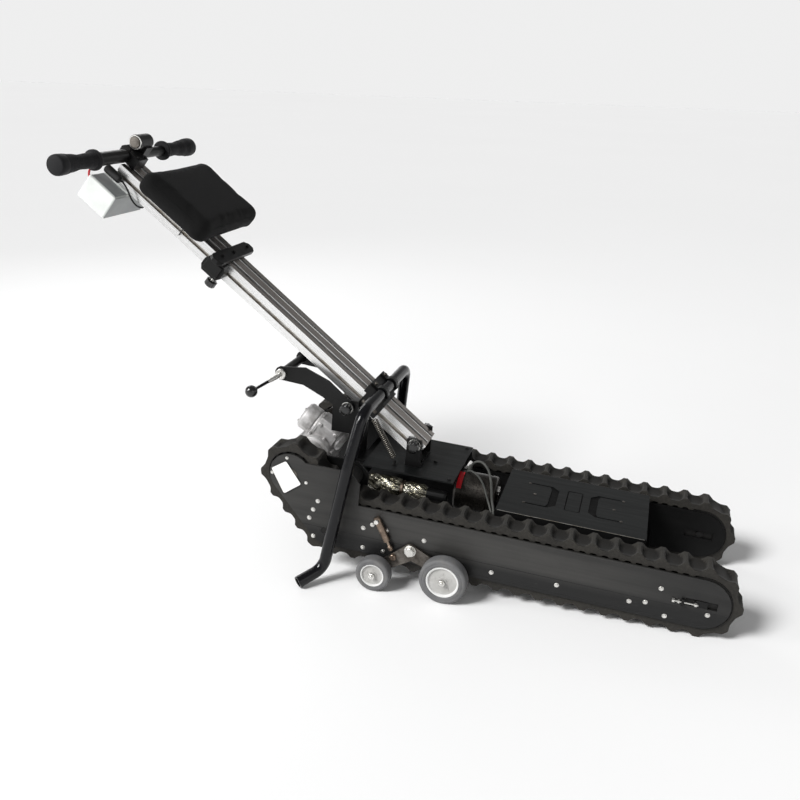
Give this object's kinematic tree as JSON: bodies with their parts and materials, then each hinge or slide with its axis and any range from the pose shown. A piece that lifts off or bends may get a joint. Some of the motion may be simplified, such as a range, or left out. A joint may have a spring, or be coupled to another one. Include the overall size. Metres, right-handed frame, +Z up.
{
  "type": "powered tracked stair climber with folding mast",
  "caption": "Tracked stair-climber chassis for a wheelchair: two lugged rubber belts on plated side frames, bogie wheels, leg frame and folding extruded mast with handlebar, cushion, battery.",
  "frame": {"origin": "centre of the bounding box in X and Y, at floor level under tracks, wheels and feet", "axes": "+X to the front idlers, +Y to the machine's left side, +Z up; the tracks dip 3.3 degrees nose-down, as they rest on the floor with the wheels"},
  "size_m": [1.6605, 0.6118, 0.997],
  "materials": {
    "black_paint": "satin black paint, slightly worn",
    "deck_paint": "matt dark grey-green paint",
    "belt_rubber": "matt moulded rubber",
    "aluminium": "clear anodised extrusion",
    "cast_aluminium": "as cast, silver",
    "zinc_steel": "zinc plated",
    "tyre_rubber": "grey non-marking rubber",
    "motor_black": "gloss black",
    "wrap_film": "clear film wrapped round metal",
    "black_plastic": "matt black",
    "grip_foam": "soft matt grip",
    "pad_fabric": "black woven fabric",
    "case_grey": "light grey moulded case",
    "cable_black": "black insulation"
  },
  "bodies": {
    "chassis": {"right_outer_plate": "black_paint", "right_inner_plate": "black_paint", "right_track_belt": "belt_rubber", "left_outer_plate": "black_paint", "left_inner_plate": "black_paint", "left_track_belt": "belt_rubber", "rear_cross_tube": "black_paint", "middle_cross_tube": "black_paint", "front_cross_tube": "black_paint", "deck_cross_tube": "black_paint", "front_deck": "deck_paint", "mast_base_plate": "deck_paint", "drive_gearbox": "cast_aluminium", "drive_motor": "motor_black", "tilt_motor": "motor_black", "actuator_tube": "wrap_film", "actuator_rod": "zinc_steel", "hinge_bracket": "black_paint", "mast_hinge_pin": "motor_black", "cradle_fork": "black_paint", "cradle_bolt": "motor_black", "assist_spring": "zinc_steel"},
    "drive_shaft": {"drive_axle": "zinc_steel", "right_drive_sprocket": "zinc_steel", "left_drive_sprocket": "zinc_steel"},
    "right_front_idler_body": {"right_front_idler": "zinc_steel"},
    "right_bend_roller_body": {"right_bend_roller": "zinc_steel"},
    "right_guide_roller_body": {"right_guide_roller": "zinc_steel"},
    "right_rocker": {"right_rocker_arm": "zinc_steel"},
    "right_large_wheel_body": {"right_large_wheel": "tyre_rubber"},
    "right_small_wheel_body": {"right_small_wheel": "tyre_rubber"},
    "right_strut": {"right_strut_tube": "zinc_steel"},
    "right_strut_piston": {"right_strut_rod": "zinc_steel"},
    "left_front_idler_body": {"left_front_idler": "zinc_steel"},
    "left_bend_roller_body": {"left_bend_roller": "zinc_steel"},
    "left_guide_roller_body": {"left_guide_roller": "zinc_steel"},
    "left_rocker": {"left_rocker_arm": "zinc_steel"},
    "left_large_wheel_body": {"left_large_wheel": "tyre_rubber"},
    "left_small_wheel_body": {"left_small_wheel": "tyre_rubber"},
    "left_strut": {"left_strut_tube": "zinc_steel"},
    "left_strut_piston": {"left_strut_rod": "zinc_steel"},
    "mast": {"mast_extrusion": "aluminium", "leg_tube": "black_paint", "leg_saddle": "black_paint", "headrest_board": "black_plastic", "headrest_pad": "pad_fabric", "handlebar_tube": "black_paint", "handlebar_clamp": "black_paint", "right_grip": "grip_foam", "left_grip": "grip_foam", "control_pod": "black_plastic", "battery_case": "case_grey", "key_switch": "black_plastic", "key_lead": "cable_black"},
    "wheelchair_clamp": {"slide_clamp": "black_paint"},
    "clamp_screw": {"clamp_knob": "black_plastic"},
    "button": {"pod_button": "zinc_steel"},
    "lever_arm_body": {"lever_arm": "black_paint"},
    "ball_lever": {"lock_lever": "zinc_steel"}
  },
  "joints": [
    {"name": "drive_spin", "type": "hinge", "parent": "chassis", "child": "drive_shaft", "pos_m": [-0.22417, 0, 0.24618], "axis": [0, 1, 0], "continuous": true},
    {"name": "right_front_idler_spin", "type": "hinge", "parent": "chassis", "child": "right_front_idler_body", "pos_m": [0.74333, -0.1685, 0.08686], "axis": [0, 1, 0], "continuous": true},
    {"name": "right_bend_roller_spin", "type": "hinge", "parent": "chassis", "child": "right_bend_roller_body", "pos_m": [-0.13864, -0.1685, 0.11259], "axis": [0, 1, 0], "continuous": true},
    {"name": "right_guide_roller_spin", "type": "hinge", "parent": "chassis", "child": "right_guide_roller_body", "pos_m": [-0.08309, -0.1685, 0.24364], "axis": [0, 1, 0], "continuous": true},
    {"name": "right_rocker_pivot", "type": "hinge", "parent": "chassis", "child": "right_rocker", "pos_m": [0.0818, 0, 0.10163], "axis": [0, 1, 0], "range_deg": [-8, 8]},
    {"name": "right_large_wheel_spin", "type": "hinge", "parent": "right_rocker", "child": "right_large_wheel_body", "pos_m": [0.1711, -0.238, 0.057], "axis": [0, 1, 0], "continuous": true},
    {"name": "right_small_wheel_spin", "type": "hinge", "parent": "right_rocker", "child": "right_small_wheel_body", "pos_m": [0.00117, -0.238, 0.042], "axis": [0, 1, 0], "continuous": true},
    {"name": "right_strut_tilt", "type": "hinge", "parent": "chassis", "child": "right_strut", "pos_m": [-0.00046, -0.2124, 0.16792], "axis": [0, 1, 0], "range_deg": [-4, 4]},
    {"name": "right_strut_travel", "type": "slide", "parent": "right_strut", "child": "right_strut_piston", "axis": [0.4393, 0, -0.8984], "range_m": [-0.008, 0.008]},
    {"name": "left_front_idler_spin", "type": "hinge", "parent": "chassis", "child": "left_front_idler_body", "pos_m": [0.74333, 0.1685, 0.08686], "axis": [0, 1, 0], "continuous": true},
    {"name": "left_bend_roller_spin", "type": "hinge", "parent": "chassis", "child": "left_bend_roller_body", "pos_m": [-0.13864, 0.1685, 0.11259], "axis": [0, 1, 0], "continuous": true},
    {"name": "left_guide_roller_spin", "type": "hinge", "parent": "chassis", "child": "left_guide_roller_body", "pos_m": [-0.08309, 0.1685, 0.24364], "axis": [0, 1, 0], "continuous": true},
    {"name": "left_rocker_pivot", "type": "hinge", "parent": "chassis", "child": "left_rocker", "pos_m": [0.0818, 0, 0.10163], "axis": [0, 1, 0], "range_deg": [-8, 8]},
    {"name": "left_large_wheel_spin", "type": "hinge", "parent": "left_rocker", "child": "left_large_wheel_body", "pos_m": [0.1711, 0.238, 0.057], "axis": [0, 1, 0], "continuous": true},
    {"name": "left_small_wheel_spin", "type": "hinge", "parent": "left_rocker", "child": "left_small_wheel_body", "pos_m": [0.00117, 0.238, 0.042], "axis": [0, 1, 0], "continuous": true},
    {"name": "left_strut_tilt", "type": "hinge", "parent": "chassis", "child": "left_strut", "pos_m": [-0.00046, 0.2124, 0.16792], "axis": [0, 1, 0], "range_deg": [-4, 4]},
    {"name": "left_strut_travel", "type": "slide", "parent": "left_strut", "child": "left_strut_piston", "axis": [0.4393, 0, -0.8984], "range_m": [-0.008, 0.008]},
    {"name": "mast_fold", "type": "hinge", "parent": "chassis", "child": "mast", "pos_m": [0.04039, 0, 0.30121], "axis": [0, 1, 0], "range_deg": [0, 120]},
    {"name": "clamp_travel", "type": "slide", "parent": "mast", "child": "wheelchair_clamp", "axis": [-0.7841, 0, 0.6206], "range_m": [-0.225, 0.015]},
    {"name": "clamp_turn", "type": "hinge", "parent": "wheelchair_clamp", "child": "clamp_screw", "pos_m": [-0.47958, -0.06, 0.67388], "axis": [0.6206, 0, 0.7841], "range_deg": [-180, 180]},
    {"name": "button_press", "type": "slide", "parent": "mast", "child": "button", "axis": [0, 1, 0], "range_m": [0, 0.002], "stiffness_N_per_m": 300},
    {"name": "lever_arm_tilt", "type": "hinge", "parent": "chassis", "child": "lever_arm_body", "pos_m": [-0.12775, 0, 0.38441], "axis": [0, 1, 0], "range_deg": [-15, 12]},
    {"name": "ball_lever_turn", "type": "hinge", "parent": "lever_arm_body", "child": "ball_lever", "pos_m": [-0.30016, 0, 0.45233], "axis": [0, 1, 0], "range_deg": [-40, 40]}
  ],
  "couplings": [
    {"joint": "right_front_idler_spin", "follows": "drive_spin", "ratio": 0.8915},
    {"joint": "right_bend_roller_spin", "follows": "drive_spin", "ratio": 1.4375},
    {"joint": "right_guide_roller_spin", "follows": "drive_spin", "ratio": -2.6136},
    {"joint": "right_strut_tilt", "follows": "right_rocker_pivot", "ratio": -0.1685},
    {"joint": "right_strut_travel", "follows": "right_rocker_pivot", "m_per_rad": -0.0448},
    {"joint": "left_front_idler_spin", "follows": "drive_spin", "ratio": 0.8915},
    {"joint": "left_bend_roller_spin", "follows": "drive_spin", "ratio": 1.4375},
    {"joint": "left_guide_roller_spin", "follows": "drive_spin", "ratio": -2.6136},
    {"joint": "left_strut_tilt", "follows": "left_rocker_pivot", "ratio": -0.1685},
    {"joint": "left_strut_travel", "follows": "left_rocker_pivot", "m_per_rad": -0.0448}
  ]
}
